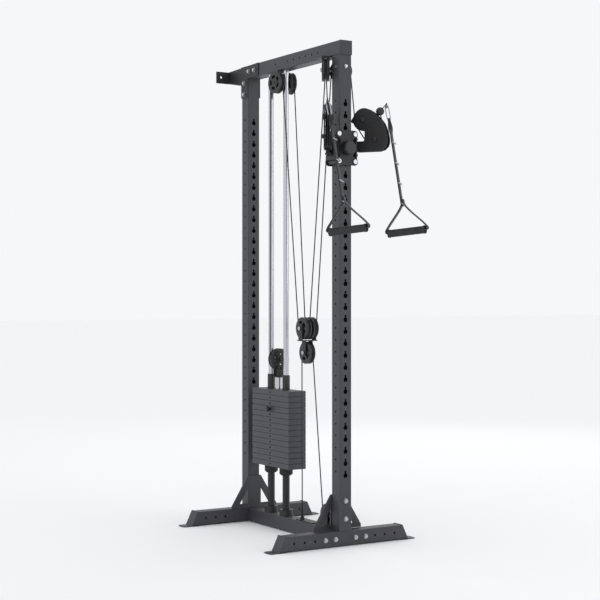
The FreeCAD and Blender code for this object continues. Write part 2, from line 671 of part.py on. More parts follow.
def arm():
    """Two side plates on a hinge barrel, with the pulley axles and spacers between them."""
    outline = arm_outline()
    plates = []
    for side in (-1, 1):
        start = side * ARM_PLATE[0]
        plates.append(prism([(d, start, z) for d, z in outline], (0, side * 4.0, 0)))
    barrel = rod(10.4, (0, 0, HINGE_Z[0] + 8.4), (0, 0, HINGE_Z[1] - 8.4))
    web = block((6.0, 26.0), (-ARM_PLATE[0], ARM_PLATE[0]), (1652.0, 1692.0))
    parts = plates + [barrel, web]
    for d, z, radius, reach in ((UPPER_PULLEY[0], UPPER_PULLEY[1], ARM_AXLE, 20.0),
                                (LOWER_PULLEY[0], LOWER_PULLEY[1], ARM_AXLE, 20.0),
                                (102.0, 1786.0, 3.0, 18.0), (52.0, 1660.0, 3.0, 18.0)):
        parts.append(rod(radius, (d, -reach, z), (d, reach, z)))
        for side in (-1, 1):
            parts.append(rod(radius + 4.0, (d, side * 16.0, z), (d, side * reach, z)))
    bore = rod(HINGE_PIN + FIT, (0, 0, HINGE_Z[0]), (0, 0, HINGE_Z[1]))
    return joined(parts).cut(bore)


def arm_wheel(place):
    wheel = pulley(ARM_PULLEY_RADIUS, ARM_PULLEY_WIDTH, ARM_TURN, ARM_AXLE + FIT, 4)
    wheel.rotate(Vector(0, 0, 0), Vector(1, 0, 0), 90)
    wheel.translate(Vector(place[0], 0, place[1]))
    return wheel


def arm_turn(place, start, sweep):
    arc = Part.makeTorus(ARM_TURN, CABLE, Vector(0, 0, 0), Vector(0, 0, 1), -180, 180, sweep)
    arc.rotate(Vector(0, 0, 0), Vector(0, 0, 1), start)
    arc.rotate(Vector(0, 0, 0), Vector(1, 0, 0), 90)
    arc.translate(Vector(place[0], 0, place[1]))
    return arc


def arm_cable():
    """The cable past one pulley, under the other, and up to the ball stop."""
    run_d, run_z = LOWER_PULLEY[0] - UPPER_PULLEY[0], UPPER_PULLEY[1] - LOWER_PULLEY[1]
    lean = math.degrees(math.atan2(run_d, run_z))
    leave_turn = 180.0 + lean
    out_d, out_z = -math.cos(math.radians(lean)) * ARM_TURN, -math.sin(math.radians(lean)) * ARM_TURN
    rise_d, rise_z = BALL[0] - LOWER_PULLEY[0], BALL[1] - LOWER_PULLEY[1]
    exit_angle = math.degrees(math.atan2(rise_z, rise_d)
                              - math.acos(ARM_TURN / math.hypot(rise_d, rise_z)))
    exit_d = LOWER_PULLEY[0] + ARM_TURN * math.cos(math.radians(exit_angle))
    exit_z = LOWER_PULLEY[1] + ARM_TURN * math.sin(math.radians(exit_angle))
    across = rod(CABLE, (UPPER_PULLEY[0] + out_d, 0, UPPER_PULLEY[1] + out_z),
                 (LOWER_PULLEY[0] + out_d, 0, LOWER_PULLEY[1] + out_z))
    rise = rod(CABLE, (exit_d, 0, exit_z), (BALL[0], 0, BALL[1]))
    ball = Part.makeSphere(BALL_RADIUS, Vector(BALL[0], 0, BALL[1]))
    return [arm_turn(UPPER_PULLEY, 180.0, lean), across,
            arm_turn(LOWER_PULLEY, leave_turn, 360.0 + exit_angle - leave_turn), rise.cut(ball)]


def ball_stop(side):
    """The ball that rests on the arm, and the eye, turned to face its handle."""
    ball = Part.makeSphere(BALL_RADIUS, Vector(BALL[0], 0, BALL[1]))
    end = (EYE[0], 0, EYE[1] + EYE_RADIUS + 2.5)
    link = rod(LINK_RADIUS, (BALL[0], 0, BALL[1]), end)
    knuckle = Part.makeSphere(3.2, Vector(*end))
    eye = Part.makeTorus(EYE_RADIUS, EYE_WIRE, Vector(EYE[0], 0, EYE[1]), Vector(1, 0, 0))
    if side < 0:
        eye.rotate(Vector(EYE[0], 0, EYE[1]), Vector(0, 0, 1), -2 * (90.0 + ARM_ANGLE))
    return joined([ball, link, knuckle, eye])


# ---- handles: local X is along the handle's plane, Z is down from the eye ----

def carabiner():
    """A closed oval link that hangs from the eye."""
    bend, wire = CARABINER_BEND, CARABINER_WIRE
    drop = -bend - CARABINER_LENGTH + 4.0
    top = Part.makeTorus(bend, wire, Vector(0, 0, 0), Vector(0, 0, 1), -180, 180, 180)
    top.rotate(Vector(0, 0, 0), Vector(1, 0, 0), 90)
    bottom = top.copy()
    bottom.rotate(Vector(0, 0, 0), Vector(0, 1, 0), 180)
    top.translate(Vector(0, 0, -bend))
    bottom.translate(Vector(0, 0, drop))
    link = joined([top, bottom] + [rod(wire, (side * bend, 0, drop), (side * bend, 0, -bend))
                                   for side in (-1, 1)])
    link.rotate(Vector(0, 0, 0), Vector(0, 1, 0), -CARABINER_TILT)
    return link


def carabiner_bottom():
    drop = -2 * CARABINER_BEND - CARABINER_LENGTH + 4.0
    tilt = math.radians(CARABINER_TILT)
    return (-drop * math.sin(tilt), drop * math.cos(tilt))


def ribbon(path):
    """Webbing along a path in (along, Z), as wide as the webbing across it."""
    half = WEBBING / 2
    pieces = []
    for (d0, z0), (d1, z1) in zip(path, path[1:]):
        length = math.hypot(d1 - d0, z1 - z0)
        side_d, side_z = half * (z0 - z1) / length, half * (d1 - d0) / length
        outline = [(d0 + side_d, z0 + side_z), (d1 + side_d, z1 + side_z),
                   (d1 - side_d, z1 - side_z), (d0 - side_d, z0 - side_z)]
        pieces.append(prism([(d, -WEBBING_WIDTH / 2, z) for d, z in outline], (0, WEBBING_WIDTH, 0)))
    for d, z in path[1:-1]:
        pieces.append(rod(half, (d, -WEBBING_WIDTH / 2, z), (d, WEBBING_WIDTH / 2, z)))
    return joined(pieces)


def grip_ends():
    """The middle of each end face of the grip, in (along, Z)."""
    tilt = math.radians(GRIP_TILT)
    reach_d, reach_z = GRIP_LENGTH / 2 * math.cos(tilt), GRIP_LENGTH / 2 * math.sin(tilt)
    return [(GRIP_CENTRE[0] + side * reach_d, GRIP_CENTRE[1] + side * reach_z) for side in (-1, 1)]


def strap_top():
    d, z = carabiner_bottom()
    return (d + 1.3, z - 6.0)


STRAP_FORK = (70.0, -420.0)


def strap():
    """The webbing: a loop on the carabiner, the stem, and a triangle through the grip."""
    left, right = grip_ends()
    d, z = carabiner_bottom()
    tilt = math.radians(CARABINER_TILT)
    reach = (3.0 * math.cos(tilt), 3.0 * math.sin(tilt))
    loop = sleeve(7.6, 3.6, (d - reach[0], 0, z - reach[1]), (d + reach[0], 0, z + reach[1]))
    stem = ribbon([strap_top(), STRAP_FORK])
    left_leg = ribbon([STRAP_FORK, (left[0] - 6.5, left[1] + 14.0), (left[0] - 8.0, left[1] + 3.0), left])
    right_leg = ribbon([(STRAP_FORK[0] + 8.0, STRAP_FORK[1]), (right[0] + 7.0, right[1] + 12.0),
                        (right[0] + 8.0, right[1] + 2.0), right])
    right_leg = right_leg.cut(left_leg).cut(stem)
    across = ribbon([left, right]).cut(left_leg).cut(right_leg)
    return [loop, stem.cut(loop), left_leg.cut(stem), right_leg, across]


def strap_at(z):
    """How far along the strap is from the eye at a height, down to the fork."""
    top = strap_top()
    share = (z - top[1]) / (STRAP_FORK[1] - top[1])
    return top[0] + share * (STRAP_FORK[0] - top[0])


def strap_fittings():
    """The D-rings down the strap, with the last one at the fork."""
    rings = []
    for z in (-152.0, -238.0, -322.0, -408.0):
        d = strap_at(z) + WEBBING / 2 + 2.4
        bar = rod(2.0, (0, -12.5, 0), (0, 12.5, 0))
        bow = Part.makeTorus(12.5, 2.0, Vector(0, 0, 0), Vector(0, 0, 1), -180, 180, 180)
        bow.rotate(Vector(0, 0, 0), Vector(0, 0, 1), -90)
        ring = joined([bar, bow])
        ring.rotate(Vector(0, 0, 0), Vector(0, 1, 0), 40)
        ring.translate(Vector(d, 0, z))
        rings.append(ring)
    return rings


def grip():
    left, right = grip_ends()
    body = sleeve(GRIP_RADIUS, GRIP_BORE, (left[0], 0, left[1]), (right[0], 0, right[1]))
    return body


# ---- placing the pieces ----

def arm_piece(solid, side):
    """A piece of an arm, placed on the right, or mirrored to the left."""
    placed = turned(solid, ARM_ANGLE, HINGE)
    return placed if side > 0 else mirrored(placed)


def handle_piece(solid, side):
    """A piece of a handle. Both handles hang in the same plane direction."""
    angle = math.radians(ARM_ANGLE)
    eye = (side * (HINGE[0] + EYE[0] * math.cos(angle)), HINGE[1] + EYE[0] * math.sin(angle))
    return turned(solid, ARM_ANGLE, eye, EYE[1])


def frame_nodes():
    bolts = hex_bolts()
    shanks = Part.makeCompound([bolt.copy() for bolt in bolts])
    front_y, rear_y = HALF, REAR_Y + HALF
    feet = foot_centre(front_y, TUBE) + foot_centre(rear_y, REAR_Y - 6.0)
    legs = both_sides([leg(front_y), leg(rear_y)])
    pads = [rod(15.0, (0, y, 0), (0, y, FOOT)) for y in (130.0, ORIGIN_Y, 700.0)]
    rods = [rod(ROD_RADIUS, (0, y, BEAM_TOP), (0, y, TOP_BEAM_Z)) for y in ROD_YS]
    resting = [weight_plate(k, BAR_RADIUS + 1.0, ROD_RADIUS + 1.0) for k in range(RESTING_COUNT)]
    return {
        "front_upright": [upright(0.0).cut(shanks)],
        "rear_upright": [upright(REAR_Y).cut(shanks)],
        "top_beam": [top_beam().cut(shanks)],
        "beam_end_caps": beam_end_caps(),
        "base_beam": [square_tube("Y", TUBE, REAR_Y, 0, FOOT + HALF)],
        "foot_centres": [piece.cut(shanks) for piece in feet],
        "legs": [piece.cut(shanks) for piece in legs],
        "wall_brackets": [piece.cut(shanks) for piece in both_sides([wall_bracket()])],
        "hex_bolts": bolts,
        "base_pads": pads,
        "guide_rods": rods,
        "riser_tubes": [riser(y) for y in ROD_YS],
        "stack_bumpers": [stack_bumper(y) for y in ROD_YS],
        "resting_plates": resting,
        "top_pulley_hangers": top_pulley_hangers(),
        "base_cable_fittings": base_cable_fittings(),
        "fixed_cable_loops": fixed_cable_loops(),
    }


def stack_nodes():
    lifted = [weight_plate(k, BAR_RADIUS + FIT, ROD_RADIUS + 0.5)
              for k in range(RESTING_COUNT, PLATE_COUNT)]
    stack_hub = (0, STACK_Y, STACK_PULLEY_Z)
    return {
        "lifted_plates": lifted,
        "stack_bushings": [stack_bushing(y) for y in ROD_YS],
        "selector_stem": [selector_stem()],
        "stack_pulley_bracket": [stack_pulley_bracket()],
        "stack_pulley": [on_axis(frame_pulley(), stack_hub, 0)],
        "stack_cable_loop": [cable_turn(stack_hub, 0, CABLE_TURN, 180, 180)],
        "stack_cable_strands": stack_cable_strands(),
        "selector_pin": [selector_pin()],
    }


def pulley_nodes():
    rear = on_axis(frame_pulley(), REAR_HUB, REAR_ANGLE)
    front = on_axis(frame_pulley(), FRONT_HUB, FRONT_ANGLE)
    double = on_axis(frame_pulley(), (BLOCK_PULLEY_X, BLOCK_Y, BLOCK_Z), 90.0)
    return {
        "rear_right_pulley": [rear],
        "rear_left_pulley": [mirrored(rear)],
        "front_right_pulley": [front],
        "front_left_pulley": [mirrored(front)],
        "base_pulley": [on_axis(frame_pulley(), BASE_HUB, 90.0)],
        "block_right_pulley": [double],
        "block_left_pulley": [mirrored(double)],
        "block_lower_pulley": [on_axis(frame_pulley(), (0, BLOCK_Y, LOW_PULLEY_Z), 90.0)],
    }


def block_nodes():
    return {
        "block_bracket": [block_bracket()],
        "block_bolts": block_bolts(),
        "block_cable_loops": block_cable_loops(),
        "block_cable_strands": block_cable_strands(),
        "low_cable_strands": low_cable_strands(),
    }


def carriage_nodes():
    return {
        "carriage_frame": carriage_frame(),
        "carriage_bolts": carriage_bolts(),
        "carriage_rollers": carriage_rollers(),
        "pull_pin": [pull_pin()],
        "arm_cable_strands": arm_cable_strands(),
        "rising_cable_strand": rising_cable_strand(),
    }


def side_nodes(name, side):
    """One arm and its handle."""
    return {
        name + "_arm": [arm_piece(arm(), side)],
        name + "_upper_arm_pulley": [arm_piece(arm_wheel(UPPER_PULLEY), side)],
        name + "_lower_arm_pulley": [arm_piece(arm_wheel(LOWER_PULLEY), side)],
        name + "_arm_cable": [arm_piece(piece, side) for piece in arm_cable()],
        name + "_ball_stop": [arm_piece(ball_stop(side), side)],
        name + "_handle_fittings": [handle_piece(piece, side) for piece in [carabiner()] + strap_fittings()],
        name + "_strap": [handle_piece(piece, side) for piece in strap()],
        name + "_grip": [handle_piece(grip(), side)],
    }


def main():
    os.makedirs("parts", exist_ok=True)
    nodes = {}
    for group in (frame_nodes(), stack_nodes(), pulley_nodes(), block_nodes(), carriage_nodes(),
                  side_nodes("left", -1), side_nodes("right", 1)):
        nodes.update(group)
    for name, solids in nodes.items():
        write_part(name, solids)
    print(len(nodes), "nodes written")


main()
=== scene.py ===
import json
import math

import bmesh
import bpy
from mathutils import Matrix, Vector


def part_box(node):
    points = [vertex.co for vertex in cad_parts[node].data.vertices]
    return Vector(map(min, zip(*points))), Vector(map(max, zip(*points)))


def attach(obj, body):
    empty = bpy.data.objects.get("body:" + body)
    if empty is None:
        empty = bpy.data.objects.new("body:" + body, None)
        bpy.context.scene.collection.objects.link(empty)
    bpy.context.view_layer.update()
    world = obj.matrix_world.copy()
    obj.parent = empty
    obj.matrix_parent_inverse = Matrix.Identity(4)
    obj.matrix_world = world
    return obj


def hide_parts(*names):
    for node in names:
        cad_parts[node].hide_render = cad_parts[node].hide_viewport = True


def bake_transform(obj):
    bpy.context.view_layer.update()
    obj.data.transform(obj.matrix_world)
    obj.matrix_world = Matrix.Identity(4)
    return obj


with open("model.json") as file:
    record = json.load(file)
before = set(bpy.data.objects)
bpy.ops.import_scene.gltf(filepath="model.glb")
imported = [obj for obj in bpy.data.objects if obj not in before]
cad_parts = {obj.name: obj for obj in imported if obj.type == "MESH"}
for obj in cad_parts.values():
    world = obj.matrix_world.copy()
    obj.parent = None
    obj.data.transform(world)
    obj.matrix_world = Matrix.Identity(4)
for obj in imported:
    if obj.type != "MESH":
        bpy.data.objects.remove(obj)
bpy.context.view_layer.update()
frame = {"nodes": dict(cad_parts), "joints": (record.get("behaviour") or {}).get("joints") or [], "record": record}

MM = 0.001
JOINTS = {joint["name"]: joint for joint in frame["joints"]}


# ---- materials: every pattern is worked out from object or UV coordinates ----

def new_material(name, color, roughness, metallic=0.0):
    """A Principled material and its node tree, with the flat values set on the shader."""
    material = bpy.data.materials.new(name)
    material.use_nodes = True
    tree = material.node_tree
    shader = tree.nodes["Principled BSDF"]
    shader.inputs["Base Color"].default_value = (*color, 1)
    shader.inputs["Roughness"].default_value = roughness
    shader.inputs["Metallic"].default_value = metallic
    return material, tree, shader


def noise(tree, scale, detail=4.0, stretch=(1, 1, 1)):
    """A noise texture on object coordinates, in features per metre."""
    coords = tree.nodes.new("ShaderNodeTexCoord")
    mapping = tree.nodes.new("ShaderNodeMapping")
    mapping.inputs["Scale"].default_value = stretch
    texture = tree.nodes.new("ShaderNodeTexNoise")
    texture.inputs["Scale"].default_value = scale
    texture.inputs["Detail"].default_value = detail
    tree.links.new(coords.outputs["Object"], mapping.inputs["Vector"])
    tree.links.new(mapping.outputs["Vector"], texture.inputs["Vector"])
    return texture.outputs["Fac"]


def ramp(tree, source, low, high, start=0.3, end=0.7):
    """A two-colour ramp driven by a texture."""
    node = tree.nodes.new("ShaderNodeValToRGB")
    node.color_ramp.elements[0].position = start
    node.color_ramp.elements[0].color = (*low, 1)
    node.color_ramp.elements[1].position = end
    node.color_ramp.elements[1].color = (*high, 1)
    tree.links.new(source, node.inputs["Fac"])
    return node.outputs["Color"]


def spread(tree, source, low, high):
    """A texture's value mapped to a range."""
    node = tree.nodes.new("ShaderNodeMapRange")
    node.inputs["To Min"].default_value = low
    node.inputs["To Max"].default_value = high
    tree.links.new(source, node.inputs["Value"])
    return node.outputs["Result"]


def bump(tree, shader, source, strength, depth):
    """Surface relief from a texture, with its depth in metres."""
    node = tree.nodes.new("ShaderNodeBump")
    node.inputs["Strength"].default_value = strength
    node.inputs["Distance"].default_value = depth
    tree.links.new(source, node.inputs["Height"])
    tree.links.new(node.outputs["Normal"], shader.inputs["Normal"])


def shade(color, factor):
    return tuple(channel * factor for channel in color)


def painted_edge_highlight(tree, base, highlight_color):
    """The base colour, lightened along sharp edges as a painted highlight."""
    geometry = tree.nodes.new("ShaderNodeNewGeometry")
    mask = spread(tree, geometry.outputs["Pointiness"], 0.0, 1.0)
    mask.node.inputs["From Min"].default_value = 0.52
    mask.node.inputs["From Max"].default_value = 0.62
    mix = tree.nodes.new("ShaderNodeMix")
    mix.data_type = "RGBA"
    tree.links.new(mask, mix.inputs["Factor"])
    tree.links.new(base, mix.inputs["A"])
    # Sharp convex edges get this lighter colour: a painted highlight, not wear.
    mix.inputs["B"].default_value = (*highlight_color, 1)
    return mix.outputs["Result"]


def powder_coat(name, color, roughness, grain):
    """Baked powder coat: a fine orange peel, faint blotches and painted highlights on the sharp edges."""
    material, tree, shader = new_material(name, color, roughness)
    blotch = ramp(tree, noise(tree, 9.0), shade(color, 0.88), shade(color, 1.12))
    # The sharp edges are lightened 1.5 times here: a painted highlight.
    tree.links.new(painted_edge_highlight(tree, blotch, shade(color, 1.5)), shader.inputs["Base Color"])
    fine = noise(tree, grain, 2.0)
    tree.links.new(spread(tree, fine, roughness - 0.07, roughness + 0.07), shader.inputs["Roughness"])
    bump(tree, shader, fine, 0.35, 0.0002)
    shader.inputs["Specular IOR Level"].default_value = 0.45
    return material


def plated(name, color, roughness, streak):
    """Chrome or zinc plate: faint drawn streaks and small changes in polish."""
    material, tree, shader = new_material(name, color, roughness, 1.0)
    lines = noise(tree, 60.0, 3.0, streak)
    tree.links.new(ramp(tree, lines, shade(color, 0.9), color), shader.inputs["Base Color"])
    tree.links.new(spread(tree, lines, roughness * 0.7, roughness * 1.5), shader.inputs["Roughness"])
    bump(tree, shader, lines, 0.08, 0.00005)
    return material


def moulded(name, color, roughness, grain, depth=0.00008):
    """Moulded plastic or rubber: a spark-eroded grain and slight changes in sheen."""
    material, tree, shader = new_material(name, color, roughness)
    tree.links.new(ramp(tree, noise(tree, 30.0), shade(color, 0.8), shade(color, 1.25)),
                   shader.inputs["Base Color"])
    fine = noise(tree, grain, 3.0)
    tree.links.new(spread(tree, fine, roughness - 0.08, roughness + 0.08), shader.inputs["Roughness"])
    bump(tree, shader, fine, 0.4, depth)
    return material


def cast_iron(name, color):
    """Painted castings: coarse sand texture under a satin coat, with painted highlights on the sharp edges."""
    material, tree, shader = new_material(name, color, 0.5)
    blotch = ramp(tree, noise(tree, 22.0, 6.0), shade(color, 0.82), shade(color, 1.16))
    # The sharp edges are lightened 1.7 times here: a painted highlight.
    tree.links.new(painted_edge_highlight(tree, blotch, shade(color, 1.7)), shader.inputs["Base Color"])
    sand = noise(tree, 700.0, 5.0)
    tree.links.new(spread(tree, sand, 0.42, 0.62), shader.inputs["Roughness"])
    bump(tree, shader, sand, 0.5, 0.00025)
    return material


def uv_wave(tree, direction, scale):
    """Fine bands along one UV direction."""
    coords = tree.nodes.new("ShaderNodeTexCoord")
    wave = tree.nodes.new("ShaderNodeTexWave")
    wave.bands_direction = direction
    wave.inputs["Scale"].default_value = scale
    wave.inputs["Distortion"].default_value = 0.6
    tree.links.new(coords.outputs["UV"], wave.inputs["Vector"])
    return wave.outputs["Fac"]


def woven(name, color):
    """Nylon webbing: cross ribs and lengthwise yarns, with a soft sheen."""
    material, tree, shader = new_material(name, color, 0.78)
    ribs = uv_wave(tree, "X", 90.0)
    yarns = uv_wave(tree, "Y", 220.0)
    weave = tree.nodes.new("ShaderNodeMath")
    weave.operation = "MULTIPLY"
    tree.links.new(ribs, weave.inputs[0])
    tree.links.new(yarns, weave.inputs[1])
    tree.links.new(ramp(tree, weave.outputs["Value"], shade(color, 0.5), shade(color, 1.9), 0.0, 1.0),
                   shader.inputs["Base Color"])
    bump(tree, shader, weave.outputs["Value"], 0.7, 0.0004)
    shader.inputs["Sheen Weight"].default_value = 0.25
    shader.inputs["Sheen Roughness"].default_value = 0.5
    return material


FRAME_COLOR = (0.033, 0.033, 0.0375)
BLACK_COLOR = (0.012, 0.012, 0.013)
MATERIALS = {
    "frame_paint": powder_coat("charcoal_powder_coat", FRAME_COLOR, 0.5, 900.0),
    "fitting_paint": powder_coat("black_powder_coat", BLACK_COLOR, 0.48, 1100.0),
    "chrome": plated("polished_chrome", (0.58, 0.59, 0.62), 0.11, (8, 8, 0.2)),
    "zinc": plated("zinc_plate", (0.46, 0.47, 0.49), 0.24, (2, 2, 2)),
    "iron": cast_iron("painted_iron", (0.031, 0.031, 0.035)),
    "rubber": moulded("buffer_rubber", (0.016, 0.016, 0.018), 0.72, 500.0, 0.0002),
    "plastic": moulded("black_nylon", (0.018, 0.018, 0.021), 0.42, 1400.0),
    "cable": moulded("cable_jacket", (0.014, 0.014, 0.016), 0.35, 900.0),
    "webbing": woven("black_webbing", (0.014, 0.014, 0.016)),
    "foam": moulded("grip_rubber", (0.020, 0.020, 0.023), 0.66, 650.0, 0.0004),
}
THREAD = moulded("sewing_thread", (0.05, 0.05, 0.055), 0.7, 900.0)


def paint_frame():
    """Give every CAD node the material of its slot."""
    slots = {part["node"]: part["material_slot"] for part in frame["record"]["subparts"]}
    for name, node in frame["nodes"].items():
        material = MATERIALS[slots[name]]
        if not node.material_slots:
            node.data.materials.append(None)
        for slot in node.material_slots:
            slot.link = "OBJECT"
            slot.material = material


# ---- mesh helpers ----

CORNER_CUTS = 3
BAND_SIDES = 24


def mesh_object(name, mesh_data, material, body):
    """A finished piece from bmesh data, riding on a body unless it is to stretch between two."""
    mesh = bpy.data.meshes.new(name)
    mesh_data.to_mesh(mesh)
    mesh_data.free()
    piece = bpy.data.objects.new(name, mesh)
    bpy.context.scene.collection.objects.link(piece)
    mesh.materials.append(material)
    for polygon in mesh.polygons:
        polygon.use_smooth = True
    if body:
        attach(piece, body)
    return piece


def basis(axis):
    """Two directions at right angles to an axis."""
    axis = Vector(axis).normalized()
    helper = Vector((0, 0, 1)) if abs(axis.z) < 0.9 else Vector((1, 0, 0))
    first = axis.cross(helper).normalized()
    return first, axis.cross(first).normalized()


def loft(rings, loop=False):
    """Skin a list of equal rings of points, with end faces unless it closes on itself."""
    data = bmesh.new()
    uv_layer = data.loops.layers.uv.new("UVMap")
    rows = [[data.verts.new(point) for point in ring] for ring in rings]
    count = len(rows[0])
    travel = [0.0]
    for before, after in zip(rings, rings[1:]):
        travel.append(travel[-1] + (Vector(after[0]) - Vector(before[0])).length)
    pairs = list(range(len(rows) - 1)) + ([len(rows) - 1] if loop else [])
    for row in pairs:
        after = (row + 1) % len(rows)
        for k in range(count):
            corners = (rows[row][k], rows[row][(k + 1) % count],
                       rows[after][(k + 1) % count], rows[after][k])
            face = data.faces.new(corners)
            high = travel[after] if after else travel[-1] + 0.002
            places = ((travel[row], k / count), (travel[row], (k + 1) / count),
                      (high, (k + 1) / count), (high, k / count))
            for corner, place in zip(face.loops, places):
                corner[uv_layer].uv = place
    if not loop:
        data.faces.new(list(reversed(rows[0])))
        data.faces.new(rows[-1])
    bmesh.ops.recalc_face_normals(data, faces=data.faces)
    return data


def lathe(centre, axis, profile, segments=48, hexes=()):
    """Revolve (radius, height) points about an axis. Rings listed in hexes are hexagonal."""
    centre, axis = Vector(centre), Vector(axis).normalized()
    first, second = basis(axis)
    rings = []
    for index, (radius, height) in enumerate(profile):
        ring = []
        for k in range(segments):
            angle = 2 * math.pi * k / segments
            reach = radius
            if index in hexes:
                sector = math.pi / 3
                reach = radius * math.cos(sector / 2) / math.cos(angle % sector - sector / 2)
            spoke = first * math.cos(angle) + second * math.sin(angle)
            ring.append(centre + axis * height + spoke * reach)
        rings.append(ring)
    return loft(rings)


def smooth_path(points):
    """Round an open path's corners by cutting them repeatedly."""
    path = [Vector(point) for point in points]
    for _ in range(CORNER_CUTS):
        cut = [path[0]]
        for before, after in zip(path, path[1:]):
            cut.append(before.lerp(after, 0.25))
            cut.append(before.lerp(after, 0.75))
        path = cut + [path[-1]]
    return path


def band(path, wide_ways, widths, thick, closed=False):
    """Webbing swept along a path: a flat band with rounded edges."""
    rings = []
    total = len(path)
    for index, point in enumerate(path):
        before = path[index - 1] if index or closed else path[0]
        after = path[(index + 1) % total] if index < total - 1 or closed else path[-1]
        along = (after - before).normalized()
        wide = wide_ways[index] - along * wide_ways[index].dot(along)
        wide.normalize()
        up = along.cross(wide)
        half_wide, half_thick = widths[index] / 2, thick / 2
        ring = []
        for k in range(BAND_SIDES):
            angle = 2 * math.pi * k / BAND_SIDES
            across = math.copysign(abs(math.cos(angle)) ** 0.35, math.cos(angle))
            rise = math.copysign(abs(math.sin(angle)) ** 0.7, math.sin(angle))
            ring.append(point + wide * across * half_wide + up * rise * half_thick)
        rings.append(ring)
    return loft(rings, loop=closed)


# ---- bolts ----

def socket_bolt(name, centre, axis, radius, height, body, material=None):
    """A button-head bolt with a washer and a hexagon socket."""
    socket = radius * 0.42
    profile = [(radius * 1.25, 0.0), (radius * 1.25, height * 0.16), (radius * 1.18, height * 0.24),
               (radius, height * 0.24), (radius, height * 0.5), (radius * 0.93, height * 0.75),
               (radius * 0.78, height * 0.93), (radius * 0.6, height), (socket * 1.15, height),
               (socket, height * 0.95), (socket, height * 0.4), (socket * 0.2, height * 0.33)]
    data = lathe(centre, axis, profile, 48, hexes=(9, 10))
    return mesh_object(name, data, material or MATERIALS["zinc"], body)


def pulley_bolts():
    """A bolt head at both ends of every fixed pulley axle."""
    for place, gap in (("rear", 0.0125), ("front", 0.0165), ("base", 0.018)):
        sides = ("left", "right") if place != "base" else ("",)
        for side in sides:
            joint = JOINTS[place + ("_" + side if side else "") + "_pulley_spin"]
            centre, axis = Vector(joint["pos_m"]), Vector(joint["axis"])
            outward = 1 if side == "right" else -1
            ends = (outward,) if place == "rear" else (1, -1)
            for end in ends:
                spot = centre + axis * end * gap
                socket_bolt("%s_%s_axle_bolt_%d" % (place, side or "mid", end + 1), spot, axis * end,
                            8.5 * MM, 7 * MM, "frame")


def arm_bolts():
    """Black bolt heads over the arm's pulley axles."""
    for side in ("left", "right"):
        for level in ("upper", "lower"):
            joint = JOINTS["%s_%s_arm_pulley_spin" % (side, level)]
            centre, axis = Vector(joint["pos_m"]), Vector(joint["axis"])
            for end in (1, -1):
                socket_bolt("%s_%s_arm_bolt_%d" % (side, level, end + 1), centre + axis * end * 0.02,
                            axis * end, 8.6 * MM, 4.5 * MM, side + "_arm_body", MATERIALS["plastic"])


def block_bolt_sockets():
    """Domed sockets on the ends of the floating block's bolts."""
    for level, half in (("upper", 0.043), ("lower", 0.025)):
        joint = JOINTS["block_left_pulley_spin" if level == "upper" else "block_lower_pulley_spin"]
        _, y, z = joint["pos_m"]
        for end in (1, -1):
            socket_bolt("block_%s_cap_%d" % (level, end + 1), (end * half, y, z), (end, 0, 0),
                        7.4 * MM, 3.5 * MM, "block")


# ---- cable strands that change length with a joint ----

CABLE_RADIUS = 2.5 * MM
CABLE_TURN = 44.5 * MM
ANCHOR = (0.0, -0.072, 0.114)


def tangent(pulley, side):
    """Where cable leaves a frame pulley at its own height: 1 is behind it, -1 in front."""
    joint = JOINTS[pulley + "_pulley_spin"]
    along = Vector((0, 0, 1)).cross(Vector(joint["axis"])).normalized()
    return Vector(joint["pos_m"]) + along * side * CABLE_TURN


def strand(name, node, fixed, moving):
    """A straight run of cable from a point on the frame to a point on a moving body."""
    fixed, moving = Vector(fixed), Vector(moving)
    axis = (moving - fixed).normalized()
    first, second = basis(axis)
    sides = 20
    rings = []
    for centre in (fixed, moving):
        rings.append([centre + (first * math.cos(2 * math.pi * s / sides)
                                + second * math.sin(2 * math.pi * s / sides)) * CABLE_RADIUS
                      for s in range(sides)])
    piece = mesh_object(name, loft(rings), MATERIALS["cable"], None)
    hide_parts(node)
    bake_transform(piece)


def cable_strands():
    """Every strand that stretches as the stack, the block or the carriage slides."""
    wheel = Vector(JOINTS["stack_pulley_spin"]["pos_m"])
    for side, sign in (("left", -1), ("right", 1)):
        rear, front, double = "rear_" + side, "front_" + side, "block_" + side
        strand(side + "_stack_strand", "stack_cable_strands",
               tangent(rear, 1), wheel + Vector((sign * CABLE_TURN, 0, 0)))
        strand(side + "_front_block_strand", "block_cable_strands",
               tangent(front, 1), tangent(double, -1))
        strand(side + "_rear_block_strand", "block_cable_strands",
               tangent(rear, -1), tangent(double, 1))
        hinge = Vector(JOINTS[side + "_arm_swivel"]["pos_m"])
        hinge.z = JOINTS[side + "_upper_arm_pulley_spin"]["pos_m"][2]
        strand(side + "_arm_strand", "arm_cable_strands", tangent(front, -1), hinge)
    strand("front_low_strand", "low_cable_strands",
           tangent("base", 1), tangent("block_lower", -1))
    strand("anchor_strand", "low_cable_strands", ANCHOR, tangent("block_lower", 1))
    start = tangent("base", -1)
    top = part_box("rising_cable_strand")[1][2]
    strand("rising_strand", "rising_cable_strand", start, (start.x, start.y, top))


# ---- handles ----

def handle_axes(side):
    """The eye's place, the handle's direction in plan, and the direction across it."""
    joint = JOINTS[side + "_handle_swing"]
    eye = Vector(joint["pos_m"])
    across = -Vector(joint["axis"])
    along = Vector((across.y, -across.x, 0)).normalized()
    return eye, along, across.normalized()


GRIP_LENGTH = 0.165
GRIP_CENTRE = (0.090, -0.525)
GRIP_TILT = math.radians(5.5)
FORK = (0.070, -0.420)
CARABINER_BOTTOM = (0.0112, -0.0559)
STEM_TOP = (CARABINER_BOTTOM[0] + 0.0010, CARABINER_BOTTOM[1] - 0.0062)
LOOP_RADIUS, LOOP_WIDTH, LOOP_THICK, LOOP_STEPS = 0.0054, 0.010, 0.0028, 28
STEM_THICK, STEM_STEPS = 0.0065, 60
TRIANGLE_WIDTH, TRIANGLE_THICK = 0.0245, 0.0045


